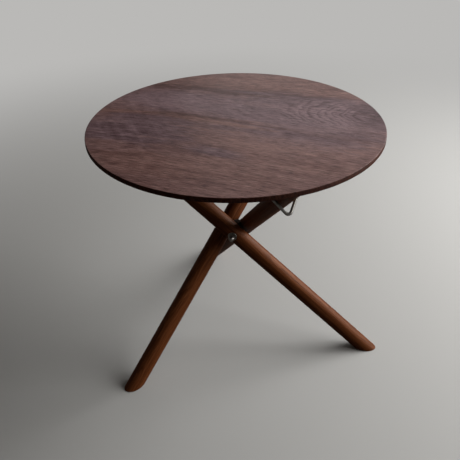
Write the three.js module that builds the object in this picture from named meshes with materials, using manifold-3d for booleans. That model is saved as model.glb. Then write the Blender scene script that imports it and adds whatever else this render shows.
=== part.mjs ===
// A round folding table. Three straight round legs pass one another beside a hub and stand as a tripod.
// The loose round top rests on their upper ends, and a wire bail under the top goes round each of them.
// Millimetres, +Z up, feet at z = 0, with the origin under the middle of the table's outer box.
import * as THREE from "three";
import { mergeVertices } from "three/addons/utils/BufferGeometryUtils.js";
import Module from "manifold-3d";

const wasm = await Module();
wasm.setup();

// Driving dimensions: the table
const tableHeight = 525.4;
const topDiameter = 600;
const topThickness = 18;
const footOverhang = 8.6; // a foot's middle runs this far past the edge of the top, measured along its leg
const legTopInset = 48.4; // a leg's upper end stops this far inside the edge of the top
const firstBearing = THREE.MathUtils.degToRad(-12.9); // where the right foot points, seen from above

// Driving dimensions: the board
const edgeHeight = 10; // upright edge, above the bevel underneath
const bevelWidth = 16;
const edgeRound = 1.2;

// Driving dimensions: the legs
const footDiameter = 35.5;
const legTopDiameter = 39.3;
const legClearance = 3.9; // between two legs where they pass
const footRound = 1.6;
const headChamfer = 0.6;

// Driving dimensions: the hub and its fasteners
const studDiameter = 8;
const hubHeight = 24;
const hubChamfer = 1;
const spacerDiameter = 16;
const spacerThickness = 2;
const washerDiameter = 20;
const washerThickness = 2;
const washerChamfer = 0.4;
const nutAcrossFlats = 13;
const nutHexHeight = 6.5;
const nutDomeDiameter = 12.4;
const nutHeight = 15;
const nutThreadDepth = 11;
const nutCollar = 1.5; // plain round neck between the hexagon and the dome

// Driving dimensions: the bails, their clips and the screws
const wireDiameter = 6;
const bailFromLegEnd = 59.4; // down the leg from its upper end
const bailHalfAngle = THREE.MathUtils.degToRad(32);
const bailTipRadius = 6.8;
const bailEarRadius = 8;
const clipWidth = 10;
const clipThickness = 1.5;
const clipMargin = 1.5; // plate left round a screw head
const earOverhang = 3; // wire that stands out past its clip
const earFreePlay = 1.5; // straight wire between the bend and the clip
const screwHeadDiameter = 7;
const screwHeadHeight = 2.4;
const screwHeadEdge = 0.7;
const screwDiameter = 3.5;
const screwLength = 14;
const screwPointLength = 4;
const screwSlotWidth = 1;
const screwSlotDepth = 1.1;

// Clearances
const seatGap = 0.3; // between faces that rest on each other
const runningGap = 0.3; // round a pin in its hole
const drillReserve = 1; // a blind hole goes this much deeper than what it holds
const overrun = 5; // how far a cutter passes through a face

// Facets round one turn
const boardFacets = 96;
const legFacets = 40;
const turnedFacets = 24;
const smallFacets = 12;
const wireFacets = 8;
const bailSteps = 60;
const roundSteps = 2;
const hexagonSides = 6;
const mergeShare = 1e-6; // vertices this close, as a share of the board, are one

// Sizes that follow from these
const topRadius = topDiameter / 2;
const underside = tableHeight - topThickness;
const footRun = topRadius + footOverhang;
const upperRun = topRadius - legTopInset;
const crossingHeight = (underside * footRun) / (footRun + upperRun);
const tilt = Math.atan2(footRun, crossingHeight);
const legFootAt = -crossingHeight / Math.cos(tilt);
const legTopAt = (underside - crossingHeight) / Math.cos(tilt);
const taper = (legTopDiameter - footDiameter) / 2 / (legTopAt - legFootAt);
const hubLegRadius = footDiameter / 2 - taper * legFootAt;
const legOffset = ((2 * hubLegRadius + legClearance) * Math.hypot(1, Math.tan(tilt) / 2)) / Math.sqrt(3);
const outerFlat = Math.sqrt(hubLegRadius ** 2 - (washerDiameter / 2) ** 2);
const innerFlat = Math.sqrt(hubLegRadius ** 2 - (spacerDiameter / 2) ** 2);
const studRadius = studDiameter / 2;
const boreRadius = studRadius + runningGap;
const spacerSeat = legOffset - innerFlat - seatGap;
const hubFlat = spacerSeat - spacerThickness - seatGap;
const washerSeat = legOffset + outerFlat + seatGap;
const nutSeat = washerSeat + washerThickness + seatGap;
const wireRadius = wireDiameter / 2;
const pivotHeight = underside - seatGap - wireRadius;
const bailAt = legTopAt - bailFromLegEnd;
const bailPivotAt = (pivotHeight - crossingHeight - bailAt * Math.cos(tilt)) / Math.sin(tilt);
const bailDistance = hubLegRadius + taper * bailAt + runningGap + wireRadius;
const earCornerAt = (bailDistance + bailPivotAt * Math.sin(bailHalfAngle)) / Math.cos(bailHalfAngle);
const earTangent = bailEarRadius * Math.tan((Math.PI / 2 - bailHalfAngle) / 2);
const clipAt = earCornerAt + earTangent + earFreePlay + clipWidth / 2;
const earEndAt = clipAt + clipWidth / 2 + earOverhang;
const pivotReach = bailAt * Math.sin(tilt) - bailPivotAt * Math.cos(tilt);
const clipInner = wireRadius + runningGap;
const clipOuter = clipInner + clipThickness;
const screwAt = clipOuter + clipMargin + screwHeadDiameter / 2;
const clipHalfLength = screwAt + clipWidth / 2;

// Materials
const darkWood = new THREE.MeshStandardMaterial({ color: 0x5a4038, roughness: 0.45, metalness: 0 });
const redWood = new THREE.MeshStandardMaterial({ color: 0x4a2415, roughness: 0.4, metalness: 0 });
const steel = new THREE.MeshStandardMaterial({ color: 0xa9a7a3, roughness: 0.35, metalness: 1 });
const zinc = new THREE.MeshStandardMaterial({ color: 0x8f9194, roughness: 0.45, metalness: 1 });

// A closed geometry as a solid that can be joined and cut.
function solidOf(geometry) {
  const bare = geometry.index ? geometry.toNonIndexed() : geometry.clone();
  bare.deleteAttribute("normal");
  bare.deleteAttribute("uv");
  const merged = mergeVertices(bare, mergeShare * topDiameter);
  return new wasm.Manifold(
    new wasm.Mesh({
      numProp: 3,
      vertProperties: merged.attributes.position.array,
      triVerts: new Uint32Array(merged.index.array),
    }),
  );
}

// The solid's surface as a geometry again.
function geometryOf(solid) {
  const surface = solid.getMesh();
  const geometry = new THREE.BufferGeometry();
  geometry.setAttribute("position", new THREE.BufferAttribute(surface.vertProperties, 3));
  geometry.setIndex(new THREE.BufferAttribute(surface.triVerts, 1));
  geometry.computeVertexNormals();
  return geometry;
}

// A profile of [radius, height] points turned about the z axis. It runs up the outside, bottom to top.
function turned(profile, facets) {
  const points = profile.map(([radius, height]) => new THREE.Vector2(radius, height));
  return new THREE.LatheGeometry(points, facets).rotateX(Math.PI / 2);
}

// A round bar along z between two heights.
function bar(radius, low, high, facets) {
  return turned([[0, low], [radius, low], [radius, high], [0, high]], facets);
}

// Points of a quarter round of the given radius, which turns a corner from one direction to the next.
function quarterRound(centreRadius, centreHeight, radius, startAngle) {
  return Array.from({ length: roundSteps + 1 }, (_, step) => {
    const angle = startAngle + ((Math.PI / 2) * step) / roundSteps;
    return [centreRadius + radius * Math.cos(angle), centreHeight + radius * Math.sin(angle)];
  });
}

// A board turned on the lathe: flat below, bevelled up to a thin upright edge, with rounded arrises.
function makeBoard() {
  const bevelTop = topThickness - edgeHeight;
  const board = solidOf(
    turned(
      [
        [0, 0],
        [topRadius - bevelWidth, 0],
        [topRadius - edgeRound, bevelTop],
        [topRadius, bevelTop + edgeRound],
        ...quarterRound(topRadius - edgeRound, topThickness - edgeRound, edgeRound, 0),
        [0, topThickness],
      ],
      boardFacets,
    ),
  );
  const pilot = bar(
    screwDiameter / 2 + runningGap,
    -overrun,
    screwLength - clipThickness - seatGap + drillReserve,
    smallFacets,
  );
  return geometryOf(
    stations.reduce(
      (left, station) =>
        screwPlaces().reduce(
          (rest, [reach, across]) =>
            rest.subtract(
              solidOf(pilot.clone().translate(reach, legOffset + across, 0).rotateZ(station.turn)),
            ),
          left,
        ),
      board,
    ),
  );
}

// A leg in its own frame: z runs up its centre line from the hub, x points away from the table's middle
// and y points up and inwards. Each ring is the leg's section at one level height, so that the foot and
// the upper end are both parallel to the floor.
function makeLeg() {
  const ring = (height, inset) =>
    Array.from({ length: legFacets }, (_, facet) => {
      const angle = (2 * Math.PI * facet) / legFacets;
      const rise = Math.sin(angle) * Math.sin(tilt);
      const along = (height - (hubLegRadius - inset) * rise) / (Math.cos(tilt) + taper * rise);
      const radius = hubLegRadius + taper * along - inset;
      return new THREE.Vector3(radius * Math.cos(angle), radius * Math.sin(angle), along);
    });
  const foot = -crossingHeight;
  const head = underside - seatGap - crossingHeight;
  const eased = quarterRound(0, 0, footRound, 0).map(([inwards, upwards]) => [
    footRound - inwards,
    footRound - upwards,
  ]);
  const rings = [
    ...eased.map(([inset, lift]) => ring(foot + lift, inset)).reverse(),
    ring(head - headChamfer, 0),
    ring(head, headChamfer),
  ];
  const corners = rings.flat();
  corners.push(new THREE.Vector3(0, 0, legFootAt));
  corners.push(new THREE.Vector3(0, 0, head / Math.cos(tilt)));
  const faces = [];
  for (let facet = 0; facet < legFacets; facet += 1) {
    const next = (facet + 1) % legFacets;
    faces.push(corners.length - 2, next, facet);
    for (let level = 0; level < rings.length - 1; level += 1) {
      const low = level * legFacets;
      const high = low + legFacets;
      faces.push(low + facet, low + next, high + next);
      faces.push(low + facet, high + next, high + facet);
    }
    const last = (rings.length - 1) * legFacets;
    faces.push(corners.length - 1, last + facet, last + next);
  }
  const geometry = new THREE.BufferGeometry().setFromPoints(corners);
  geometry.setIndex(faces);
  const reach = legTopDiameter;
  const bore = bar(boreRadius, -reach, reach, turnedFacets);
  const outerCut = bar(washerDiameter / 2 + runningGap, outerFlat, reach, turnedFacets);
  const innerCut = bar(spacerDiameter / 2 + runningGap, -reach, -innerFlat, turnedFacets);
  return geometryOf(
    [bore, outerCut, innerCut].reduce(
      (left, cutter) => left.subtract(solidOf(cutter.rotateY(Math.PI / 2))),
      solidOf(geometry),
    ),
  );
}

// The hub: a short upright hexagon bar with a screwed stud standing out of every second flat.
function makeHub() {
  const halfSide = Math.PI / hexagonSides;
  const corner = hubFlat / Math.cos(halfSide);
  const body = turned(
    [
      [0, -hubHeight / 2],
      [corner - hubChamfer, -hubHeight / 2],
      [corner, hubChamfer - hubHeight / 2],
      [corner, hubHeight / 2 - hubChamfer],
      [corner - hubChamfer, hubHeight / 2],
      [0, hubHeight / 2],
    ],
    hexagonSides,
  );
  const studEnd = nutSeat + nutThreadDepth - drillReserve;
  const stud = turned(
    [
      [0, 0],
      [studRadius, 0],
      [studRadius, studEnd - hubChamfer],
      [studRadius - hubChamfer, studEnd],
      [0, studEnd],
    ],
    turnedFacets,
  );
  return geometryOf(
    stations.reduce(
      (left, station) =>
        left.add(solidOf(stud.clone().rotateX(-Math.PI / 2).rotateZ(station.turn))),
      solidOf(body.rotateZ(stations[0].turn + halfSide)),
    ),
  );
}

// A flat ring from z = 0 up, with a bore that clears the stud.
function makeRing(diameter, thickness) {
  const radius = diameter / 2;
  return turned(
    [
      [boreRadius, 0],
      [radius, 0],
      [radius, thickness - washerChamfer],
      [radius - washerChamfer, thickness],
      [boreRadius, thickness],
      [boreRadius, 0],
    ],
    turnedFacets,
  );
}

// A domed cap nut that stands on z = 0, with a blind threaded hole from below.
function makeCapNut() {
  const corner = nutAcrossFlats / 2 / Math.cos(Math.PI / hexagonSides);
  const domeRadius = nutDomeDiameter / 2;
  const hexagon = solidOf(bar(corner, 0, nutHexHeight, hexagonSides));
  const chamfered = solidOf(
    turned(
      [
        [0, 0],
        [nutAcrossFlats / 2, 0],
        [corner + (corner - nutAcrossFlats / 2), nutHexHeight / 2],
        [nutAcrossFlats / 2, nutHexHeight],
        [0, nutHexHeight],
      ],
      turnedFacets,
    ),
  );
  const neck = nutHexHeight + nutCollar;
  const dome = Array.from({ length: 2 * roundSteps + 1 }, (_, step) => {
    const angle = ((Math.PI / 2) * step) / (2 * roundSteps);
    return [domeRadius * Math.cos(angle), neck + (nutHeight - neck) * Math.sin(angle)];
  });
  dome[dome.length - 1][0] = 0;
  const cap = solidOf(turned([[0, nutHexHeight / 2], [domeRadius, nutHexHeight / 2], ...dome], turnedFacets));
  const thread = solidOf(bar(boreRadius, -overrun, nutThreadDepth, turnedFacets));
  return geometryOf(hexagon.intersect(chamfered).add(cap).subtract(thread));
}

// A path through corners, each rounded by its bend radius.
function bentPath(corners, radii) {
  const path = new THREE.Path();
  path.moveTo(corners[0].x, corners[0].y);
  corners.slice(1, -1).forEach((corner, index) => {
    const entry = corner.clone().sub(corners[index]).normalize();
    const leave = corners[index + 2].clone().sub(corner).normalize();
    const turn = Math.atan2(entry.cross(leave), entry.dot(leave));
    const radius = radii[index];
    const start = corner.clone().addScaledVector(entry, -radius * Math.tan(Math.abs(turn) / 2));
    const side = Math.sign(turn);
    const centre = new THREE.Vector2(-entry.y, entry.x).multiplyScalar(side * radius).add(start);
    const from = Math.atan2(start.y - centre.y, start.x - centre.x);
    path.lineTo(start.x, start.y);
    path.absarc(centre.x, centre.y, radius, from, from + turn, side < 0);
  });
  path.lineTo(corners.at(-1).x, corners.at(-1).y);
  return path;
}

// A flat path laid in the plane of x and y, for a wire to follow.
class FlatRoute extends THREE.Curve {
  constructor(path) {
    super();
    this.path = path;
  }

  getPoint(share, target = new THREE.Vector3()) {
    const point = this.path.getPoint(share);
    return target.set(point.x, point.y, 0);
  }
}

// A bail bent from one wire: two ears in line, which turn in the clips, and a vee that hugs the leg.
// It lies in the plane across the leg: x points away from the table's middle and y up and inwards.
function makeBail() {
  const corners = [
    new THREE.Vector2(-earEndAt, bailPivotAt),
    new THREE.Vector2(-earCornerAt, bailPivotAt),
    new THREE.Vector2(0, -bailDistance / Math.sin(bailHalfAngle)),
    new THREE.Vector2(earCornerAt, bailPivotAt),
    new THREE.Vector2(earEndAt, bailPivotAt),
  ];
  const section = new THREE.Shape(
    Array.from({ length: wireFacets }, (_, facet) => {
      const angle = (2 * Math.PI * facet) / wireFacets;
      return new THREE.Vector2(wireRadius * Math.cos(angle), wireRadius * Math.sin(angle));
    }),
  );
  return new THREE.ExtrudeGeometry(section, {
    steps: bailSteps,
    extrudePath: new FlatRoute(bentPath(corners, [bailEarRadius, bailTipRadius, bailEarRadius])),
  });
}

// A saddle clip that hangs below z = 0: a strap pressed over the wire, with a round-ended foot and a
// screw hole on either side. The wire lies along y.
function makeClip() {
  const wireAt = pivotHeight - underside;
  const strap = new THREE.Shape();
  strap.moveTo(-clipHalfLength, -seatGap);
  strap.lineTo(-clipHalfLength, -seatGap - clipThickness);
  strap.lineTo(-clipOuter, -seatGap - clipThickness);
  strap.lineTo(-clipOuter, wireAt);
  strap.absarc(0, wireAt, clipOuter, Math.PI, 2 * Math.PI, false);
  strap.lineTo(clipOuter, -seatGap - clipThickness);
  strap.lineTo(clipHalfLength, -seatGap - clipThickness);
  strap.lineTo(clipHalfLength, -seatGap);
  strap.lineTo(clipInner, -seatGap);
  strap.lineTo(clipInner, wireAt);
  strap.absarc(0, wireAt, clipInner, 2 * Math.PI, Math.PI, true);
  strap.lineTo(-clipInner, -seatGap);
  strap.closePath();
  const pressed = new THREE.ExtrudeGeometry(strap, {
    depth: clipWidth,
    bevelEnabled: false,
    curveSegments: smallFacets / 2,
  });
  pressed.translate(0, 0, -clipWidth / 2).rotateX(Math.PI / 2);
  const plan = new THREE.Shape();
  plan.absarc(screwAt, 0, clipWidth / 2, -Math.PI / 2, Math.PI / 2, false);
  plan.absarc(-screwAt, 0, clipWidth / 2, Math.PI / 2, (3 * Math.PI) / 2, false);
  plan.closePath();
  const depth = clipOuter + overrun - wireAt;
  const trim = new THREE.ExtrudeGeometry(plan, {
    depth: depth + overrun,
    bevelEnabled: false,
    curveSegments: smallFacets / 2,
  });
  const hole = bar(screwDiameter / 2 + runningGap, -depth, overrun, smallFacets);
  return geometryOf(
    solidOf(pressed)
      .intersect(solidOf(trim.translate(0, 0, -depth)))
      .subtract(solidOf(hole.clone().translate(screwAt, 0, 0)))
      .subtract(solidOf(hole.translate(-screwAt, 0, 0))),
  );
}

// A slotted round-head wood screw, driven upwards: the head's flat side is at z = 0.
function makeScrew() {
  const headRadius = screwHeadDiameter / 2;
  const shank = screwDiameter / 2;
  const crown = screwHeadHeight - screwHeadEdge;
  const dome = Array.from({ length: roundSteps + 1 }, (_, step) => {
    const angle = ((Math.PI / 2) * step) / roundSteps - Math.PI / 2;
    return [headRadius * Math.cos(angle), crown * Math.sin(angle) - screwHeadEdge];
  });
  dome[0][0] = 0;
  const blank = turned(
    [
      ...dome,
      [headRadius, 0],
      [shank, 0],
      [shank, screwLength - screwPointLength],
      [0, screwLength],
    ],
    smallFacets,
  );
  const slot = new THREE.BoxGeometry(screwHeadDiameter + overrun, screwSlotWidth, 2 * screwSlotDepth);
  return geometryOf(solidOf(blank).subtract(solidOf(slot.translate(0, 0, -screwHeadHeight))));
}

// The places of one leg's four screws: how far out along the leg's lean, and how far to its side.
function screwPlaces() {
  return [-clipAt, clipAt].flatMap((across) => [
    [pivotReach - screwAt, across],
    [pivotReach + screwAt, across],
  ]);
}

function named(name, geometry, material) {
  const mesh = new THREE.Mesh(geometry, material);
  mesh.name = name;
  return mesh;
}

// One station for each leg, a third of a turn apart. Its x axis is the way the upper leg leans, and its
// y axis points from the table's middle to the leg's side of the hub.
const stations = ["right", "front", "back"].map((side, index) => ({
  side,
  turn: firstBearing + Math.PI - (index * 2 * Math.PI) / 3,
}));

const table = new THREE.Group();
const board = named("tabletop", makeBoard(), darkWood);
board.position.z = underside;
table.add(board);
const hub = named("hub_stud", makeHub(), zinc);
hub.position.z = crossingHeight;
table.add(hub);

for (const { side, turn } of stations) {
  const station = new THREE.Group();
  station.rotation.z = turn;
  table.add(station);

  const alongLeg = new THREE.Group();
  alongLeg.position.set(0, legOffset, crossingHeight);
  alongLeg.rotation.set(0, tilt, Math.PI / 2);
  alongLeg.add(named("leg_" + side, makeLeg(), redWood));
  const bail = named("bail_" + side, makeBail(), steel);
  bail.position.z = bailAt;
  alongLeg.add(bail);
  station.add(alongLeg);

  const onStud = new THREE.Group();
  onStud.position.z = crossingHeight;
  onStud.rotation.x = -Math.PI / 2;
  const spacer = named("spacer_" + side, makeRing(spacerDiameter, spacerThickness), zinc);
  spacer.position.z = spacerSeat - spacerThickness;
  const washer = named("washer_" + side, makeRing(washerDiameter, washerThickness), steel);
  washer.position.z = washerSeat;
  const nut = named("cap_nut_" + side, makeCapNut(), steel);
  nut.position.z = nutSeat;
  onStud.add(spacer, washer, nut);
  station.add(onStud);

  [-clipAt, clipAt].forEach((across, index) => {
    const clip = named("clip_" + side + "_" + (index + 1), makeClip(), zinc);
    clip.position.set(pivotReach, legOffset + across, underside);
    station.add(clip);
  });
  screwPlaces().forEach(([reach, across], index) => {
    const screw = named("screw_" + side + "_" + (index + 1), makeScrew(), zinc);
    screw.position.set(reach, legOffset + across, underside - 2 * seatGap - clipThickness);
    station.add(screw);
  });
}

// The origin goes under the middle of the outer box.
const outerBox = new THREE.Box3().setFromObject(table, true);
const middle = outerBox.getCenter(new THREE.Vector3());
table.position.set(-middle.x, -middle.y, 0);

const object = new THREE.Group();
object.add(table);
export default object;
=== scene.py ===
# A round folding table: a loose walnut top on three straight turned legs, which pass one another at a hub.
# The table's sizes are in millimetres, the room's in metres, and each mesh is made where its piece stands.
import math

import bpy
import numpy as np
from mathutils import Matrix, Vector


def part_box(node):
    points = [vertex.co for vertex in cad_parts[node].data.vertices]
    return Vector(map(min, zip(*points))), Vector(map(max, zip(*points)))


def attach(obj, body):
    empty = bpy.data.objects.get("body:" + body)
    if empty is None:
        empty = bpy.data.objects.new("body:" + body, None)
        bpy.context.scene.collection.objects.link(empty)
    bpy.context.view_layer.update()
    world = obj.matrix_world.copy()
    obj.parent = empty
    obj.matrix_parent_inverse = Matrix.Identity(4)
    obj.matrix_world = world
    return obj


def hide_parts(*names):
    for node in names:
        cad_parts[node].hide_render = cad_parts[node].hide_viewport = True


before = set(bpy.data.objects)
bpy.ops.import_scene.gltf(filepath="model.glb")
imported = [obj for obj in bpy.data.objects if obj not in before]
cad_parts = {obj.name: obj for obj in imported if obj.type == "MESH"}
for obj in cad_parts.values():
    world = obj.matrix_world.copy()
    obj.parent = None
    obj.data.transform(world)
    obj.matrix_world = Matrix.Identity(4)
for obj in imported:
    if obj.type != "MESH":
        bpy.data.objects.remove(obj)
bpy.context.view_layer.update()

# The board. A round walnut top of four planks glued edge to edge, turned to a circle and bevelled
# underneath so that its edge looks thin. It is sanded fine, oiled and rubbed to a satin.
board_radius = 300
board_thickness = 18
upright_edge = 10
bevel_width = 16
bevel_ease = 2.5
lower_edge_ease = 1.6
upper_edge_ease = 1.4
edge_sanded = 0.6
board_steps = 288
board_relief = 0.12

grain_turn = math.radians(-15.5)
ring_width = 5.2
arch_crown = -170
arch_roundness = 80
arch_slope = 0.14
arch_fades = (60, 170)

# Plank by plank: where it starts across the top, where the heart of its tree lay across the top and how far
# below, how fast the rings fall along it, and how warm its colour is.
plank_starts = [-300, -128, 18, 176]
heart_places = [-360, -330, 104, 420]
heart_depths = [120, 150, 190, 110]
ring_falls = [0, 0, 0.30, 0]
plank_warmths = [0.72, 0.66, 0.38, 0.80]

board_low, board_high = (1000 * np.array(corner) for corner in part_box("tabletop"))
table_height = board_high[2]
underside = table_height - board_thickness
table_middle = np.append((board_low + board_high)[:2] / 2, 0)


class Tone:
    """A number, colour or place that changes over a piece: one output socket among its finish's nodes."""

    def __init__(self, socket):
        self.socket = socket

    def node(self, kind, settings, inputs, output=0):
        """Adds a node, gives it its settings, then its sockets' values or links, and returns one output."""
        tree = self.socket.id_data
        added = tree.nodes.new("ShaderNode" + kind)
        for key, value in settings.items():
            if key == "stops":
                for spot, colour in value[len(added.color_ramp.elements):]:
                    added.color_ramp.elements.new(spot)
                for element, (spot, colour) in zip(added.color_ramp.elements, value):
                    element.position, element.color = spot, (*colour, 1)
            elif key == "spread":
                added.color_ramp.interpolation = value
            else:
                setattr(added, key, value)
        for key, value in inputs.items():
            if isinstance(value, Tone):
                tree.links.new(value.socket, added.inputs[key])
            else:
                added.inputs[key].default_value = value
        return Tone(added.outputs[output]) if added.outputs else None

    def sum(self, operation, *others):
        """One step of arithmetic on this number, with the others if it takes any."""
        return self.node("Math", {"operation": operation}, dict(enumerate((self, *others))))

    def __add__(self, other):
        return self.sum("ADD", other)

    def __sub__(self, other):
        return self.sum("SUBTRACT", other)

    def __mul__(self, other):
        return self.sum("MULTIPLY", other)

    def __truediv__(self, other):
        return self.sum("DIVIDE", other)

    def __rsub__(self, other):
        return self.node("Math", {"operation": "SUBTRACT"}, {0: other, 1: self})

    __radd__ = __add__
    __rmul__ = __mul__

    def shifted(self, move):
        """A place moved by the same or by a changing amount."""
        return self.node("VectorMath", {"operation": "ADD"}, {0: self, 1: move})

    def parts(self):
        """The three numbers of a place or a colour."""
        return [Tone(part) for part in self.node("SeparateXYZ", {}, {0: self}).socket.node.outputs]

    def cloud(self, pitch, detail, rough=0.5):
        """Soft values about 0.5, in patches as long on each axis as pitch says, with finer ones on them."""
        squeezed = self.node("VectorMath", {"operation": "DIVIDE"}, {0: self, 1: pitch})
        sizes = {"Vector": squeezed, "Scale": 1.0, "Detail": detail, "Roughness": rough}
        return squeezed.node("TexNoise", {}, sizes)

    def layers(self, pitch, detail, rough):
        """The same along one number, such as the distance from the heart of a tree."""
        sizes = {"W": self / pitch, "Scale": 1.0, "Detail": detail, "Roughness": rough}
        return self.node("TexNoise", {"noise_dimensions": "1D"}, sizes)

    def rise(self, low, high):
        """0 below low, 1 above high, and an even curve between them."""
        return self.node("MapRange", {"interpolation_type": "SMOOTHSTEP"}, {0: self, 1: low, 2: high})

    def colours(self, *stops):
        """A run of colours, each after its spot on the run, as red, green and blue out of 255."""
        lit = [(spot, linear(*colour)) for spot, *colour in stops]
        return self.node("ValToRGB", {"stops": lit}, {0: self})

    def over(self, under, upper):
        """The upper colour laid on the under one, as thickly as this number says."""
        return self.node("Mix", {"data_type": "RGBA"}, {0: self, 6: under, 7: upper}, 2)


def linear(red, green, blue):
    """A colour out of 255 as the light it gives back: ((c + 0.055) / 1.055) to the power 2.4."""
    shares = (np.array([red, green, blue]) / 255 + 0.055) / 1.055
    return tuple(float(share) for share in shares**2.4)


def paint(red, green, blue):
    """A colour out of 255 as a socket takes it, fully opaque."""
    return (*linear(red, green, blue), 1)


def bare_finish(name):
    """A material with nothing in it yet, and the place of each point of the piece that wears it."""
    finish = bpy.data.materials.new(name)
    finish.use_nodes = True
    finish.node_tree.nodes.clear()
    return finish, Tone(finish.node_tree.nodes.new("ShaderNodeTexCoord").outputs["Object"])


def measured(place, middle=(0, 0, 0), turn=(0, 0, 0)):
    """The place in millimetres from a middle, along axes turned as the material lies in the piece."""
    centre = tuple(float(part) / 1000 for part in middle)
    sockets = {"Vector": place, "Location": centre, "Rotation": tuple(turn), "Scale": (0.001,) * 3}
    return place.node("Mapping", {"vector_type": "TEXTURE"}, sockets)


def levelness(place):
    """1 where the surface faces straight up or down, and 0 where it stands upright."""
    return place.node("TexCoord", {}, {}, 1).parts()[2].sum("ABSOLUTE")


def lay_on(place, relief, depth, sockets):
    """Closes a finish: its surface, with relief standing up by depth millimetres where it is 1."""
    normal = relief.node("Bump", {}, {"Strength": 1.0, "Distance": depth / 1000, "Height": relief})
    surface = place.node("BsdfPrincipled", {}, {"Normal": normal, **sockets})
    surface.node("OutputMaterial", {}, {"Surface": surface})


def eased(corners, radii, steps=6, lead=0.25):
    """A closed outline with round corners. Each arc's centre is radius / sin(h) from its corner, down the
    middle of it, where h is half the corner's angle, and its points swing evenly from one side to the other.
    A short straight, lead radii long, comes before and after, so that the light turns in the arc alone."""
    corners, radii = np.array(corners, float), np.array(radii, float)[:, None]
    back, ahead = (np.roll(corners, turn, axis=0) - corners for turn in (1, -1))
    back, ahead = (side / np.linalg.norm(side, axis=1, keepdims=True) for side in (back, ahead))
    half = np.arccos((back * ahead).sum(axis=1, keepdims=True)) / 2
    middle = (back + ahead) / np.linalg.norm(back + ahead, axis=1, keepdims=True)
    centre = corners + middle * radii / np.sin(half)
    start, end = (corners + side * radii / np.tan(half) for side in (back, ahead))
    share = np.linspace(0, 1, steps + 1)[None, :, None]
    swing = (np.pi - 2 * half)[:, None]
    first, last = (start - centre)[:, None], (end - centre)[:, None]
    arms = np.sin((1 - share) * swing) * first + np.sin(share * swing) * last
    arcs = centre[:, None] + arms / np.sin(swing)
    before, after = start + back * lead * radii, end + ahead * lead * radii
    points = np.concatenate([before[:, None], arcs, after[:, None]], axis=1).reshape(-1, 2)
    return points[np.linalg.norm(points - np.roll(points, 1, axis=0), axis=1) > 1e-6]


def turned(outline, count):
    """An outline of radii and heights swung round z: x = radius cos(angle), y = radius sin(angle)."""
    angle = np.linspace(0, 2 * np.pi, count, endpoint=False)
    radius, height = outline.T[:, :, None]
    return np.stack([radius * np.cos(angle), radius * np.sin(angle), height + 0 * angle], axis=-1)


def shaded(mesh):
    """Shades a mesh smooth, apart from the edges where its faces meet at more than 32 degrees."""
    mesh.shade_smooth()
    mesh.set_sharp_from_angle(angle=math.radians(32))


def made(name, grids, place, finish):
    """A piece from closed grids of points, set in its place. Each cell of a grid is a face between its corner
    and the next ones along and across. Points that meet become one, which closes the seams and the poles, and
    a face that loses a corner by it stays as a triangle."""
    spots, faces, count = [], [], 0
    for grid in grids:
        cell = count + np.arange(grid[..., 0].size).reshape(grid.shape[:2])
        beside, above = np.roll(cell, -1, axis=1), np.roll(cell, -1, axis=0)
        faces.append(np.stack([cell, beside, np.roll(beside, -1, axis=0), above], axis=-1).reshape(-1, 4))
        spots.append(grid.reshape(-1, 3) @ place[:3, :3].T + place[:3, 3])
        count += grid[..., 0].size
    spots, index = np.unique(np.round(np.concatenate(spots), 4), axis=0, return_inverse=True)
    faces = index.reshape(-1)[np.concatenate(faces)]
    kept = faces != np.roll(faces, -1, axis=1)
    faces, kept = faces[kept.sum(axis=1) > 2], kept[kept.sum(axis=1) > 2]
    mesh = bpy.data.meshes.new(name)
    mesh.vertices.add(len(spots))
    mesh.vertices.foreach_set("co", (spots / 1000).ravel())
    mesh.loops.add(int(kept.sum()))
    mesh.loops.foreach_set("vertex_index", faces[kept])
    mesh.polygons.add(len(faces))
    mesh.polygons.foreach_set("loop_start", np.cumsum(kept.sum(axis=1)) - kept.sum(axis=1))
    mesh.update(calc_edges=True)
    mesh.validate()
    shaded(mesh)
    mesh.materials.append(finish)
    piece = bpy.data.objects.new(name, mesh)
    bpy.context.scene.collection.objects.link(piece)
    return piece


def shift(x, y, z):
    """A move, as a matrix: x, y and z are added."""
    return np.array([[1, 0, 0, x], [0, 1, 0, y], [0, 0, 1, z], [0, 0, 0, 1]], float)


walnut, place = bare_finish("oiled_walnut")
planks = measured(place, (*table_middle[:2], underside), (0, 0, grain_turn))
along, across, deep = planks.parts()


def by_plank(values):
    """A number that changes from plank to plank. A ramp holds it in grey, from 0 for -reach to 1 for reach."""
    width = 2 * board_radius
    reach = max(abs(value) for value in values)
    greys = [value / reach / 2 + 0.5 for value in values]
    stops = [(start / width + 0.5, (grey,) * 3) for start, grey in zip(plank_starts, greys)]
    share = across / width + 0.5
    ramp = share.node("ValToRGB", {"stops": stops, "spread": "CONSTANT"}, {0: share})
    return (ramp.parts()[0] * 2 - 1) * reach


# The grain arches a little over the front of the board, along a curve that is round at its crown and straight
# far off. The streaks and stains bend with it, and the rings and the glue lines don't.
past_crown = along - arch_crown
rounded = (past_crown * past_crown + arch_roundness**2).sum("SQRT") - arch_roundness
arch = rounded * (1 - across.rise(*arch_fades)) * arch_slope
planks = planks.shifted(arch.node("CombineXYZ", {}, {1: arch}))
bent_across = planks.parts()[1]

# The growth rings lie round each plank's heart. Each year's wood darkens slowly and ends at once.
waver = planks.cloud((150, 60, 60), 3, 0.55) - 0.5
aside = across - by_plank(heart_places)
below = deep - board_thickness + by_plank(heart_depths) - along * by_plank(ring_falls) + waver * 26
ring = (aside * aside + below * below).sum("SQRT") + waver * 6
years = ring.layers(15, 4, 0.62)
season = (ring / ring_width + years * 1.6).sum("FRACT")
late = season.rise(0.35, 0.9) * (1 - season.rise(0.93, 1.0))

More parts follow.
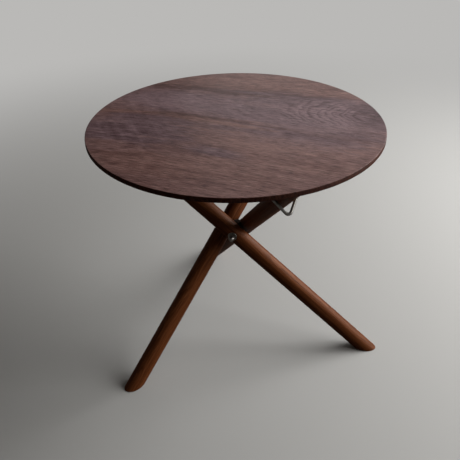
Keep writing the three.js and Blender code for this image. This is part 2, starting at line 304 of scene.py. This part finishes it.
# From the longest marks in the wood to the finest: casts of colour, broad bands, streaks and flecks.
cast = planks.cloud((330, 95, 95), 2, 0.5)
broad = planks.cloud((170, 24, 24), 3, 0.55)
streak = planks.cloud((60, 4, 12), 3, 0.65)
fleck = planks.cloud((26, 1.4, 6), 3, 0.6)
tone = 0.5 + (years - 0.5) * 0.38 + (streak - 0.5) * 0.52 + (fleck - 0.5) * 2.7
tone = tone + (broad - 0.5) * 0.72 + (cast - 0.5) * 0.5
warmth = by_plank(plank_warmths)
worn_rim = (broad - 0.5) * 1.4 + (streak - 0.5) * 2.2


def stain(along_at, across_at, half_length, half_width):
    """A soft patch in the wood: 1 where the square of the distance over the half sizes is 0, and 0 from 1
    on, with its rim worn uneven by the streaks."""
    long, wide = (along - along_at) / half_length, (bent_across - across_at) / half_width
    return 1 - (long * long + wide * wide + worn_rim).rise(0, 1)


# Stains of the heartwood: where each is, its half length and width, and what it adds to warmth and tone.
for *spot, warmer, lighter in [
    (-145, 90, 165, 60, -0.55, 0.18),
    (130, 60, 260, 160, -0.45, 0.08),
    (-190, -62, 145, 96, -0.80, -0.06),
    (0, -120, 80, 22, -0.60, -0.02),
    (-130, -205, 150, 52, 0.50, 0.06),
    (-60, 222, 190, 34, 0.30, 0.14),
    (140, 214, 90, 30, 0.30, 0.10),
    (-215, 168, 90, 26, 0.25, -0.24),
    (262, 120, 50, 90, 0.00, -0.18),
    (-170, 12, 170, 14, 0.60, 0.04),
    (-10, 8, 130, 11, 0.60, 0.12),
    (-20, 25, 190, 10, 0.30, -0.30),
    (190, 22, 150, 14, 0.20, 0.02),
    (-150, 170, 110, 13, 0.20, -0.26),
    (-20, 157, 130, 11, 0.20, -0.40),
    (110, 174, 90, 10, 0.20, -0.34),
]:
    patch = stain(*spot)
    warmth, tone = warmth + patch * warmer, tone + patch * lighter

# The rings show best in the nested arches of one plank, and a curl crosses the grain of its neighbour.
figure = stain(158, 106, 108, 66)
curl = stain(-185, -75, 150, 100) * ((along * 0.82 + across * 0.57).layers(21, 3, 0.6) - 0.5)
tone = tone + (0.35 - late) * (0.08 + figure * 0.34) + curl * 0.7

cool = tone.colours((0.10, 77, 52, 55), (0.42, 107, 82, 86), (0.60, 125, 99, 103), (0.95, 148, 122, 125))
brown = tone.colours((0.10, 80, 52, 47), (0.42, 113, 79, 74), (0.60, 132, 97, 90), (0.95, 158, 123, 115))
colour = (warmth + (cast - 0.5) * 0.8).rise(0.0, 0.9).over(cool, brown)
pore = planks.cloud((11, 0.5, 2), 1).rise(0.60, 0.70) * (1 - late * 0.6)
dash = planks.cloud((24, 0.9, 4), 2, 0.6).rise(0.55, 0.68)
colour = (pore * 0.6 + dash * 0.9).over(colour, paint(44, 28, 25))
# The upright rim, and less so the bevel, is painted a dark red-brown. This is partly the darker oiled end
# grain and partly painted shade, which darkens every upright face of the rim.
rim_grain_and_shade = (1 - levelness(place)).rise(0, 0.4)
rim_colour_and_shade = tone.colours((0.2, 47, 17, 7), (0.5, 60, 25, 11), (0.8, 74, 34, 17))
colour = (rim_grain_and_shade * 0.95).over(colour, rim_colour_and_shade)
rub = planks.cloud((70, 40, 40), 3, 0.6)
lay_on(
    place,
    0.6 - pore * 0.6 - dash * 0.2 + (streak - 0.5) * 0.5,
    board_relief,
    {
        "Base Color": colour,
        "Roughness": 0.36 + pore * 0.25 + (rub - 0.5) * 0.16 + rim_grain_and_shade * 0.45,
        "Specular IOR Level": 0.25,
    },
)

outline = eased(
    [
        (0, 0),
        (board_radius - bevel_width, 0),
        (board_radius, board_thickness - upright_edge + edge_sanded),
        (board_radius, board_thickness),
        (0, board_thickness),
    ],
    [0, bevel_ease, lower_edge_ease, upper_edge_ease, 0],
)
board = made("board", [turned(outline, board_steps)], shift(*table_middle) @ shift(0, 0, underside), walnut)
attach(board, "tabletop")
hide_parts("tabletop")

# The legs. Three straight rods turned from one red-brown hardwood, a little thicker at the top. Each is
# sawn level at both ends, so that it stands flat and the board lies flat on it, and is bored for its stud,
# with a flat milled round the hole on either side. The finish is oil, deeper in colour on the end grain.
foot_overhang = 8.6
leg_top_inset = 48.4
first_bearing = math.radians(-12.9)
foot_diameter = 35.5
leg_top_diameter = 39.3
leg_clearance = 3.9
foot_round = 1.6
head_chamfer = 0.6
corner_ease = 0.1
sanded_away = 0.1
seat_gap = 0.3
running_gap = 0.3
stud_radius = 4
bore_radius = stud_radius + running_gap
washer_radius = 10
spacer_radius = 8
cutter_reach = 30
cutter_steps = 72
leg_ring_width = 2.7
leg_relief = 0.1

foot_run = board_radius + foot_overhang
upper_run = board_radius - leg_top_inset
crossing = underside * foot_run / (foot_run + upper_run)
tilt = math.atan2(foot_run, crossing)
leg_low = -crossing / math.cos(tilt)
leg_high = (underside - crossing) / math.cos(tilt)
taper = (leg_top_diameter - foot_diameter) / 2 / (leg_high - leg_low)
hub_leg_radius = foot_diameter / 2 - taper * leg_low
leg_offset = (2 * hub_leg_radius + leg_clearance) * math.hypot(1, math.tan(tilt) / 2) / math.sqrt(3)
outer_flat = math.sqrt(hub_leg_radius**2 - washer_radius**2)
inner_flat = math.sqrt(hub_leg_radius**2 - spacer_radius**2)


def turn_about_z(angle):
    """A turn, as a matrix: x cos(angle) - y sin(angle), x sin(angle) + y cos(angle), and z as it was."""
    c, s = math.cos(angle), math.sin(angle)
    return np.array([[c, -s, 0, 0], [s, c, 0, 0], [0, 0, 1, 0], [0, 0, 0, 1]], float)


def worked(piece, operation, tool):
    """Cuts a tool's solid from a piece, or joins it to the piece, and does away with the tool."""
    step = piece.modifiers.new("step", "BOOLEAN")
    step.operation, step.solver, step.object = operation, "MANIFOLD", tool
    shape = bpy.data.meshes.new_from_object(piece.evaluated_get(bpy.context.evaluated_depsgraph_get()))
    piece.modifiers.clear()
    piece.data = shape
    shaded(shape)
    bpy.data.objects.remove(tool)


def rod(radius, low, high, count=48):
    """A plain rod: a rectangle from the axis out to the radius, swung round the axis."""
    return turned(np.array([[0, low], [radius, low], [radius, high], [0, high]], float), count)


# A station is a third of a turn: its x axis is the way its upper leg leans, and y points out to the leg's
# side of the hub. In a leg's own frame x points out, y up and inwards, and z up the leg from the hub.
sides = ["right", "front", "back"]
station = {
    side: shift(*table_middle) @ turn_about_z(first_bearing + np.pi - third * 2 * np.pi / 3)
    for third, side in enumerate(sides)
}
leaning = np.array(
    [
        [0, -math.cos(tilt), math.sin(tilt), 0],
        [1, 0, 0, leg_offset],
        [0, math.sin(tilt), math.cos(tilt), crossing],
        [0, 0, 0, 1],
    ]
)
across_leg = np.array([[0, 0, 1, 0], [0, 1, 0, 0], [-1, 0, 0, 0], [0, 0, 0, 1]], float)


def level_rings(heights, insets, count=96):
    """Level sections of the tapered rod. On the rod's outline at one angle, rise = sin(angle) sin(tilt) says
    how fast height is gained outwards, so a height h is met at
    along = (h - (R - inset) rise) / (cos(tilt) + taper rise), where the radius is R + taper along - inset."""
    angle = np.linspace(0, 2 * np.pi, count, endpoint=False)
    rise = np.sin(angle) * math.sin(tilt)
    height, inset = heights[:, None], insets[:, None]
    along = (height - (hub_leg_radius - inset) * rise) / (math.cos(tilt) + taper * rise)
    radius = hub_leg_radius + taper * along - inset
    return np.stack([radius * np.cos(angle), radius * np.sin(angle), along], axis=-1)


# The rings of a leg, from its foot to its head: how high each lies above the hub's middle, and how far it
# stands in from the full rod. They lie closer about the hub, where the bore and the flats are cut.
foot, head = -crossing, underside - seat_gap - crossing
ring_gap = 4
hub_zone = 32
quarter = np.linspace(0, np.pi / 2, 9)[::-1]
foot_rings = foot + foot_round * (1 - np.sin(quarter))
lower_rings = np.linspace(foot + ring_gap, -hub_zone - ring_gap, 12)
hub_rings = np.linspace(-hub_zone, hub_zone, 17)
upper_rings = np.linspace(hub_zone + ring_gap, head - ring_gap, 10)
head_drops = np.array([head_chamfer + 3 * corner_ease, head_chamfer, corner_ease, 0])
head_insets = np.array([0, corner_ease / 2, head_chamfer - corner_ease, head_chamfer + corner_ease])
heights = np.concatenate([foot_rings, lower_rings, hub_rings, upper_rings, head - head_drops])
plain = np.zeros(len(lower_rings) + len(hub_rings) + len(upper_rings))
insets = sanded_away + np.concatenate([foot_round * (1 - np.cos(quarter)), plain, head_insets])
# Each end face is closed by rings at these shares of the way out from its middle.
end_face_shares = np.array([0, 0.5, 0.9, 0.985])[:, None, None]

for number, side in enumerate(sides):
    in_place = station[side] @ leaning
    oiled, place = bare_finish("oiled_leg_" + side)
    grain = measured(place, in_place[:3, 3], Matrix(in_place[:3, :3]).to_euler())
    x, y, z = grain.parts()
    # Each leg is cut from another stretch of the stick, with the heart of the tree a little further off.
    stick = grain.shifted((31 * number, 57 * number, 900 * number))
    heart_x, heart_y, heart_lean = 20 * number - 12, -62 - 9 * number, -0.012
    waver = stick.cloud((40, 40, 190), 3, 0.5) - 0.5
    aside, below = x - heart_x, y - heart_y - z * heart_lean + waver * 22
    ring = (aside * aside + below * below).sum("SQRT")
    years = ring.layers(9, 3, 0.6)
    season = (ring / leg_ring_width + years * 1.5).sum("FRACT")
    late = season.rise(0.3, 0.9) * (1 - season.rise(0.94, 1.0))
    streak = stick.cloud((2.6, 2.6, 120), 4, 0.6)
    tone = 0.5 + (years - 0.5) * 0.8 + (streak - 0.5) * 0.8 + (0.5 - late) * 0.16
    colour = tone.colours((0.15, 59, 28, 12), (0.42, 91, 48, 23), (0.60, 111, 62, 33), (0.85, 137, 83, 50))
    pore = stick.cloud((0.45, 0.45, 9), 1).rise(0.60, 0.70)
    colour = (pore * 0.5).over(colour, paint(42, 20, 9))
    sawn = levelness(place).rise(0.8, 0.96)
    colour = (sawn * 0.75).over(colour, paint(44, 22, 12))
    rub = stick.cloud((14, 14, 60), 3, 0.6)
    lay_on(
        place,
        0.6 - pore * 0.6 + (streak - 0.5) * 0.5,
        leg_relief,
        {
            "Base Color": colour,
            "Roughness": 0.46 + pore * 0.2 + (rub - 0.5) * 0.14 + sawn * 0.3,
            "Specular IOR Level": 0.14,
            "Specular Tint": (1.0, 0.8, 0.65, 1),
        },
    )
    rings = level_rings(heights, insets)
    low_middle, high_middle = np.array([0, 0, leg_low]), np.array([0, 0, head / math.cos(tilt)])
    low_face = low_middle + end_face_shares * (rings[0] - low_middle)
    high_face = high_middle + end_face_shares[::-1] * (rings[-1] - high_middle)
    leg = made("turned_leg_" + side, [np.concatenate([low_face, rings, high_face])], in_place, oiled)
    for cut in [
        rod(bore_radius, -cutter_reach, cutter_reach),
        rod(washer_radius + seat_gap, outer_flat, cutter_reach, cutter_steps),
        rod(spacer_radius + seat_gap, -cutter_reach, -inner_flat, cutter_steps),
    ]:
        worked(leg, "DIFFERENCE", made("cutter", [cut], in_place @ across_leg, oiled))
    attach(leg, "leg_" + side)
    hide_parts("leg_" + side)

# The hub. A short upright hexagon bar of zinc-plated steel, chamfered at both ends, with a stud screwed
# into every second flat. The plating is painted dark, as painted shade for the shadow under the board.
# Each stud carries one leg, and its end is threaded for the cap nut.
hub_height = 24
hub_chamfer = 1
hub_ease = 0.2
spacer_thickness = 2
washer_thickness = 2
nut_thread_depth = 11
nut_room = 1
thread_pitch = 1.25
thread_depth = 0.35
thread_lead = 4
stud_tip = 1
stud_tip_narrowing = 0.8
hexagon_steps = 144
plating_relief = 0.012

spacer_seat = leg_offset - inner_flat - seat_gap
hub_flat = spacer_seat - spacer_thickness - seat_gap
washer_seat = leg_offset + outer_flat + seat_gap
nut_seat = washer_seat + washer_thickness + seat_gap
stud_end = nut_seat + nut_thread_depth - nut_room
outwards = np.array([[1, 0, 0, 0], [0, 0, 1, 0], [0, -1, 0, crossing], [0, 0, 0, 1]], float)


def hexagon(points, flat, turn=0.0, crispness=70):
    """Points drawn in to a hexagon bar: at each angle the radius is at most flat / s, where s is the sum of
    the cosines from the three pairs of flats, each to the crispness-th power, brought back by the
    crispness-th root. That leaves the edges a little round."""
    angle = np.arctan2(points[..., 1], points[..., 0]) - turn
    pairs = np.abs(np.cos(angle[..., None] - np.arange(3) * np.pi / 3)) ** crispness
    limit = flat * pairs.sum(axis=-1) ** (-1 / crispness)
    radius = np.hypot(points[..., 0], points[..., 1])
    share = np.minimum(1, limit / np.maximum(radius, 1e-9))[..., None]
    return points * np.concatenate([share, share, np.ones_like(share)], axis=-1)


def threaded(radius, low, high, start, tip, narrowing, pitch, depth, count=32):
    """A rod with a screw thread from start to its high end: the radius falls by depth and rises again once in
    each pitch along it and once in each turn round it. Over the length of the tip it also narrows evenly."""
    angle = np.linspace(0, 2 * np.pi, count, endpoint=False)
    height = np.array([low, low, start, *np.arange(start, high, pitch / 8)[1:], high, high])[:, None]
    turns = height / pitch - angle / (2 * np.pi)
    groove = depth * np.abs(2 * (turns % 1) - 1) * np.clip((height - start) / pitch, 0, 1)
    end = narrowing * np.clip(1 - (high - height) / tip, 0, 1)
    out = np.maximum(radius - groove - end, 0)
    out[0] = out[-1] = 0
    return np.stack([out * np.cos(angle), out * np.sin(angle), height + 0 * angle], axis=-1)


def plated(name, colour, dull, roughness):
    """Plated steel: clouded a little by handling, with fine rub marks that run both ways."""
    finish, place = bare_finish(name)
    metal = measured(place)
    film = metal.cloud((5, 5, 5), 4, 0.6)
    along_x, along_y = metal.cloud((3, 0.25, 0.25), 2), metal.cloud((0.25, 3, 0.25), 2)
    marks = along_x.rise(0.5, 0.75) + along_y.rise(0.5, 0.75)
    lay_on(
        place,
        film * 0.7 + marks * 0.3,
        plating_relief,
        {
            "Base Color": film.rise(0.35, 0.7).over(paint(*colour), paint(*dull)),
            "Metallic": 1.0,
            "Roughness": roughness + film * 0.14 + marks * 0.05,
        },
    )
    return finish


# Plating painted dark as painted shade: the hub, its studs and the spacers sit in the shadow under the board.
shaded_dark_zinc = plated("shade_darkened_zinc", (84, 82, 80), (58, 56, 54), 0.42)
corner = hub_flat / math.cos(np.pi / 6)
half = hub_height / 2
outline = eased(
    [
        (0, -half),
        (corner - hub_chamfer, -half),
        (corner, hub_chamfer - half),
        (corner, half - hub_chamfer),
        (corner - hub_chamfer, half),
        (0, half),
    ],
    [0, hub_ease, hub_ease, hub_ease, hub_ease, 0],
    steps=3,
)
# The first stud's flat lies a quarter turn on from the way its leg leans.
bar = hexagon(turned(outline, hexagon_steps), hub_flat, first_bearing + np.pi + np.pi / 2)
hub = made("hub_bar", [bar], shift(*table_middle) @ shift(0, 0, crossing), shaded_dark_zinc)
threads_from = nut_seat - thread_lead
for side in sides:
    stud = threaded(
        stud_radius, 0, stud_end, threads_from, stud_tip, stud_tip_narrowing, thread_pitch, thread_depth
    )
    worked(hub, "UNION", made("stud", [stud], station[side] @ outwards, shaded_dark_zinc))
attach(hub, "hub")
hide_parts("hub_stud")

# The spacers and washers. Flat plated rings on the studs: a spacer stands each leg off the hub, and a
# wider washer spreads the load of its cap nut. Both are stamped, with softened edges.
hole_ease = 0.2
burr_ease = 0.25
rolled_ease = 0.4
ring_steps = 96

steel = plated("bright_steel", (172, 169, 163), (130, 127, 122), 0.24)


def stamped_ring(radius, thickness):
    """A flat ring: a rectangle from the bore to the rim with eased corners, swung round the axis."""
    outline = [(bore_radius, 0), (radius, 0), (radius, thickness), (bore_radius, thickness)]
    return turned(eased(outline, [hole_ease, burr_ease, rolled_ease, hole_ease], steps=4), ring_steps)


for side in sides:
    on_stud = station[side] @ outwards
    ring = stamped_ring(spacer_radius, spacer_thickness)
    spacer_place = on_stud @ shift(0, 0, spacer_seat - spacer_thickness)
    # The spacer wears the hub's plating, which is painted dark as shade.
    spacer = made("spacer_ring_" + side, [ring], spacer_place, shaded_dark_zinc)
    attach(spacer, "hub")
    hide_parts("spacer_" + side)
    ring = stamped_ring(washer_radius, washer_thickness)
    washer = made("plain_washer_" + side, [ring], on_stud @ shift(0, 0, washer_seat), steel)
    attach(washer, "hub")
    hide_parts("washer_" + side)

# The cap nuts. Bright steel nuts with a domed, closed top. Each is turned from hexagon bar: the corners
# are chamfered at both ends, a short plain neck follows, and then the polished dome.
nut_flat = 6.5
nut_hex_height = 6.5
nut_height = 15
dome_radius = 6.2
nut_collar = 1.5
nut_chamfer = 0.65
nut_face_inset = 0.1
nut_corner_ease = 0.15
nut_hole_chamfer = 0.5

corner = nut_flat / math.cos(np.pi / 6)
neck = nut_hex_height + nut_collar
hole = [
    (0, nut_thread_depth),
    (bore_radius, nut_thread_depth),
    (bore_radius, nut_hole_chamfer),
    (bore_radius + nut_hole_chamfer, 0),
]
chamfer = np.array(
    [(nut_flat - nut_face_inset, 0), (nut_flat + nut_corner_ease, nut_face_inset), (corner, nut_chamfer)]
)
upper_chamfer = chamfer[::-1] * (1, -1) + (0, nut_hex_height)
fillet = [(dome_radius + nut_corner_ease, nut_hex_height), (dome_radius, nut_hex_height + nut_corner_ease)]
quarter = np.linspace(0, np.pi / 2, 17)
dome = np.stack([dome_radius * np.cos(quarter), neck + (nut_height - neck) * np.sin(quarter)], axis=1)
dome[-1, 0] = 0
nut_outline = np.array([*hole, *chamfer, *upper_chamfer, *fillet, *dome])
nut_shape = hexagon(turned(nut_outline, hexagon_steps), nut_flat)
for side in sides:
    on_seat = station[side] @ outwards @ shift(0, 0, nut_seat)
    nut = made("domed_nut_" + side, [nut_shape], on_seat, steel)
    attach(nut, "hub")
    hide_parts("cap_nut_" + side)

# The bails. Each is bent cold from one length of bright steel wire: a vee that hugs the leg, and two ears
# in line that turn in the clips under the board. The cut ends are rounded.
wire_radius = 3
wire_end_round = 1.2
bail_from_leg_end = 59.4
bail_half_angle = math.radians(32)
tip_bend = 6.8
ear_bend = 8
clip_width = 10
ear_overhang = 3
ear_free_play = 1.5
wire_steps = 32
end_steps = 7

pivot_height = underside - seat_gap - wire_radius
bail_at = leg_high - bail_from_leg_end
bail_pivot = (pivot_height - crossing - bail_at * math.cos(tilt)) / math.sin(tilt)
bail_distance = hub_leg_radius + taper * bail_at + running_gap + wire_radius
ear_corner = (bail_distance + bail_pivot * math.sin(bail_half_angle)) / math.cos(bail_half_angle)
ear_tangent = ear_bend * math.tan((np.pi / 2 - bail_half_angle) / 2)
clip_at = ear_corner + ear_tangent + ear_free_play + clip_width / 2
ear_end = clip_at + clip_width / 2 + ear_overhang


def along_path(path, section, sizes):
    """A section carried along a flat path. At each point of it the section's first number goes to the side of
    the path, square to the mean direction of the steps before and after, and its second out of the path's
    plane. Both ends are closed on the path itself."""
    steps = np.diff(path, axis=0)
    steps /= np.linalg.norm(steps, axis=1, keepdims=True)
    ahead = np.concatenate([steps[:1], steps[:-1] + steps[1:], steps[-1:]])
    ahead /= np.linalg.norm(ahead, axis=1, keepdims=True)
    beside = np.stack([-ahead[:, 1], ahead[:, 0]], axis=1)[:, None]
    section = section * sizes
    grid = np.concatenate([path[:, None] + beside * section[..., :1], section[..., 1:]], axis=-1)
    low, high = (grid[end].mean(axis=1, keepdims=True) + 0 * grid[end] for end in ([0], [-1]))
    return np.concatenate([low, grid, high])


# The last corner only closes the outline far above the bail, and its point is left off.
route = eased(
    [
        (-ear_end, bail_pivot),
        (-ear_corner, bail_pivot),
        (0, -bail_distance / math.sin(bail_half_angle)),
        (ear_corner, bail_pivot),
        (ear_end, bail_pivot),
        (0, 2 * ear_end),
    ],
    [0, ear_bend, tip_bend, ear_bend, 0, 0],
    steps=16,
    lead=0.1,
)[:-1]
rounding = np.linspace(0, np.pi / 2, end_steps)
end_inset = wire_end_round * (1 - np.sin(rounding))
end_size = 1 - wire_end_round / wire_radius * (1 - np.cos(rounding))
left = np.stack([end_inset[::-1] - ear_end, np.full(end_steps, bail_pivot)], axis=1)
route = np.concatenate([left, route[1:-1], left[::-1] * (-1, 1)])
sizes = np.concatenate([end_size[::-1], np.ones(len(route) - 2 * end_steps), end_size])[:, None, None]
angle = np.linspace(0, 2 * np.pi, wire_steps, endpoint=False)
wire = along_path(route, np.stack([np.cos(angle), np.sin(angle)], axis=1) * wire_radius, sizes)
for side in sides:
    bail = made("wire_bail_" + side, [wire], station[side] @ leaning @ shift(0, 0, bail_at), steel)
    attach(bail, "bail_" + side)
    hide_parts("bail_" + side)

# The clips. Saddle clips pressed from plated strip: an arch over the ear of the bail, and on either side
# a round-ended foot with a screw hole, flat against the board.
clip_thickness = 1.5
clip_margin = 1.5
clip_ease = 0.3
clip_fold = 0.95
screw_head_radius = 3.5
screw_hole_radius = 2.05
tongue_steps = 14
tongue_tip = 0.05

pivot_reach = bail_at * math.sin(tilt) - bail_pivot * math.cos(tilt)
clip_inner = wire_radius + running_gap
clip_outer = clip_inner + clip_thickness
screw_at = clip_outer + clip_margin + screw_head_radius
mid_arch = clip_inner + clip_thickness / 2
foot_level = -seat_gap - clip_thickness / 2
wire_level = pivot_height - underside
# The last corner only closes the outline above the board, and its point is left off.
strap = eased(
    [
        (-screw_at, foot_level),
        (-mid_arch, foot_level),
        (-mid_arch, wire_level - mid_arch),
        (mid_arch, wire_level - mid_arch),
        (mid_arch, foot_level),
        (screw_at, foot_level),
        (0, screw_at),
    ],
    [0, clip_fold, mid_arch, mid_arch, clip_fold, 0, 0],
    steps=12,
    lead=0,
)[:-1]
round_end = np.linspace(tongue_tip, np.pi / 2, tongue_steps)
tongue_reach = -screw_at - clip_width / 2 * np.cos(round_end)
tongue = np.stack([tongue_reach, np.full(tongue_steps, foot_level)], axis=1)
strap = np.concatenate([tongue, strap[1:-1], tongue[::-1] * (-1, 1)])
full_width = np.ones(len(strap) - 2 * tongue_steps)
half_width = clip_width / 2 * np.concatenate([np.sin(round_end), full_width, np.sin(round_end[::-1])])
# The strap is bent in the plane of x and y, and a quarter turn about x stands it up under the board.
stood_up = np.array([[1, 0, 0, 0], [0, 0, -1, 0], [0, 1, 0, 0], [0, 0, 0, 1]], float)


def strip(half_thickness, half_width, ease, steps=3):
    """Sections of flat strip, one for each width. The arc at every corner has its centre in from the corner,
    along both sides, by the easing radius, which is never more than the half width."""
    angle = np.arange(4)[:, None] * np.pi / 2 + np.linspace(0, np.pi / 2, steps + 1)
    arc = np.stack([np.cos(angle), np.sin(angle)], axis=-1).reshape(-1, 2)
    side = np.repeat([(1, 1), (-1, 1), (-1, -1), (1, -1)], steps + 1, axis=0)
    half = np.stack([np.full_like(half_width, half_thickness), half_width], axis=-1)[:, None]
    radius = np.minimum(ease, half_width)[:, None, None]
    return side * (half - radius) + arc * radius


zinc = plated("zinc_plating", (140, 142, 145), (106, 108, 112), 0.32)
pressed = along_path(strap, strip(clip_thickness / 2, half_width, clip_ease), 1)
drill = rod(screw_hole_radius, -3 * clip_thickness, 3 * clip_thickness)
for side in sides:
    for number, beside in enumerate([-clip_at, clip_at], 1):
        on_board = station[side] @ shift(pivot_reach, leg_offset + beside, underside)
        clip = made(f"saddle_clip_{side}_{number}", [pressed], on_board @ stood_up, zinc)
        holes = [drill + (reach, 0, 0) for reach in (-screw_at, screw_at)]
        worked(clip, "DIFFERENCE", made("drill", holes, on_board, zinc))
        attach(clip, "tabletop")
        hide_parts(f"clip_{side}_{number}")

# The screws. Plated round-head wood screws with a straight slot, two in each clip, driven up into
# pilot holes in the board. The thread is rolled on the shank and runs out at the point.
screw_head_height = 2.4
screw_head_edge = 0.5
screw_head_ease = 0.15
screw_radius = 1.75
screw_length = 14
screw_neck = 3
screw_point = 4
screw_pitch = 1.5
screw_thread_depth = 0.4
first_slot_turn = 0.7
next_slot_turn = 1.9
slot_width = 1.0
slot_depth = 1.1
saw_length = 12
pilot_clearance = 1.1
pilot_steps = 24


def block(x, y, z):
    """A box: its two ends are square rings closed to their middles."""
    corner = np.array([(1, 1), (-1, 1), (-1, -1), (1, -1)])
    size = np.array([0, 1, 1, 0])[:, None, None] * corner * (x / 2, y / 2)
    height = np.array([-1, -1, 1, 1])[:, None, None] * z / 2 + np.zeros((1, 4, 1))
    return np.concatenate([size, height], axis=-1)


quarter = np.linspace(0, np.pi / 2, 13)
crown = screw_head_height - screw_head_edge
dome = np.stack([screw_head_radius * np.sin(quarter), -screw_head_edge - crown * np.cos(quarter)], axis=1)
rim = [(screw_head_radius, -screw_head_ease), (screw_head_radius - screw_head_ease, 0), (screw_radius, 0)]
head_outline = np.array([*dome, *rim])
shank = threaded(
    screw_radius, 0, screw_length, screw_neck, screw_point, screw_radius, screw_pitch, screw_thread_depth
)
blank = np.concatenate([turned(head_outline, shank.shape[1]), shank[1:]])
pilot = rod(screw_hole_radius, 0, screw_length + pilot_clearance, pilot_steps)
saw = block(saw_length, slot_width, 2 * slot_depth)
for side in sides:
    for number in range(4):
        reach = pivot_reach + (-screw_at, screw_at)[number % 2]
        beside = leg_offset + (-clip_at, clip_at)[number // 2]
        driven = station[side] @ shift(reach, beside, underside - 2 * seat_gap - clip_thickness)
        worked(board, "DIFFERENCE", made("drill", [pilot], driven, walnut))
        # Each screw stops at a turn of its own.
        driven = driven @ turn_about_z(first_slot_turn + next_slot_turn * number + len(side))
        screw = made(f"slotted_screw_{side}_{number + 1}", [blank], driven, zinc)
        slot = made("saw", [saw], driven @ shift(0, 0, -screw_head_height), zinc)
        worked(screw, "DIFFERENCE", slot)
        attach(screw, "tabletop")
        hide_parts(f"screw_{side}_{number + 1}")

# The room. A plain pale floor that runs into a backdrop of its own colour, two large soft lamps on the
# right, a faint one behind and a fainter warm light all round. The camera stands in front and looks down.
floor_reach = 30
floor_fades = (0.6, 2.3)
backdrop = paint(186, 185, 183)
pale_floor = paint(184, 183, 180)
lit_floor = paint(60, 46, 36)
gloss_share = 0.2
softbox_width = 1.6
lamps_aim = (0, 0, 0.3)


def seen_by(place):
    """1 where the camera looks at a surface, and a share of that where a glossy piece shows it."""
    shown = place.node("LightPath", {}, {}, 3) * gloss_share
    return place.node("LightPath", {}, {}, 0).sum("MAXIMUM", shown)


# The floor throws less and warmer light up at the table than it shows, and turns to the backdrop far off.
floor_corners = [(floor_reach * x, floor_reach * y, 0) for x, y in ((-1, -1), (1, -1), (1, 1), (-1, 1))]
floor_mesh = bpy.data.meshes.new("floor")
floor_mesh.from_pydata(floor_corners, [], [(0, 1, 2, 3)])
floor = bpy.data.objects.new("floor", floor_mesh)
bpy.context.scene.collection.objects.link(floor)
floor_paint, place = bare_finish("floor_paint")
seen = seen_by(place)
sockets = {"Base Color": seen.over(lit_floor, pale_floor), "Roughness": 0.9, "Specular IOR Level": 0.1}
near = place.node("BsdfPrincipled", {}, sockets)
afar = place.node("VectorMath", {"operation": "LENGTH"}, {0: place}, 1).rise(*floor_fades) * seen
glow = place.node("Emission", {}, {"Color": backdrop})
surface = place.node("MixShader", {}, {0: afar, 1: near, 2: glow})
surface.node("OutputMaterial", {}, {"Surface": surface})
floor_mesh.materials.append(floor_paint)

for name, spot, power in [
    ("side_light", (2.0, 0.8, 1.35), 64),
    ("front_light", (2.1, -0.3, 1.3), 28),
    ("back_light", (0.5, 2.3, 1.4), 4.5),
]:
    lamp = bpy.data.lights.new(name, "AREA")
    lamp.shape, lamp.size, lamp.energy = "SQUARE", softbox_width, power
    softbox = bpy.data.objects.new(name, lamp)
    softbox.location = spot
    softbox.rotation_euler = (Vector(lamps_aim) - Vector(spot)).to_track_quat("-Z", "Y").to_euler()
    softbox.visible_camera = False
    bpy.context.scene.collection.objects.link(softbox)

# The world is a faint warm fill. The camera and the gloss see the backdrop instead, and less of it high up.
world = bpy.data.worlds.new("room")
world.use_nodes = True
world.node_tree.nodes.clear()
way = Tone(world.node_tree.nodes.new("ShaderNodeTexCoord").outputs["Generated"])
fill = way.node("Background", {}, {"Color": (1.0, 0.92, 0.84, 1), "Strength": 0.06})
wall = way.node("Background", {}, {"Color": backdrop, "Strength": 1.0})
low = 1 - way.parts()[2].rise(0.02, 0.45) * 0.8
surface = way.node("MixShader", {}, {0: seen_by(way) * low, 1: fill, 2: wall})
surface.node("OutputWorld", {}, {"Surface": surface})
bpy.context.scene.world = world

eye = bpy.data.cameras.new("eye")
eye.lens, eye.sensor_width = 49.65, 36
camera = bpy.data.objects.new("eye", eye)
camera.location = (-0.0098, -1.2056, 1.0458)
# Tilted up from straight down, then leaned and turned a little.
camera.rotation_euler = [math.radians(angle) for angle in (56.869, 1.072, 0.032)]
bpy.context.scene.collection.objects.link(camera)
bpy.context.scene.camera = camera
bpy.context.scene.view_settings.view_transform = "Standard"
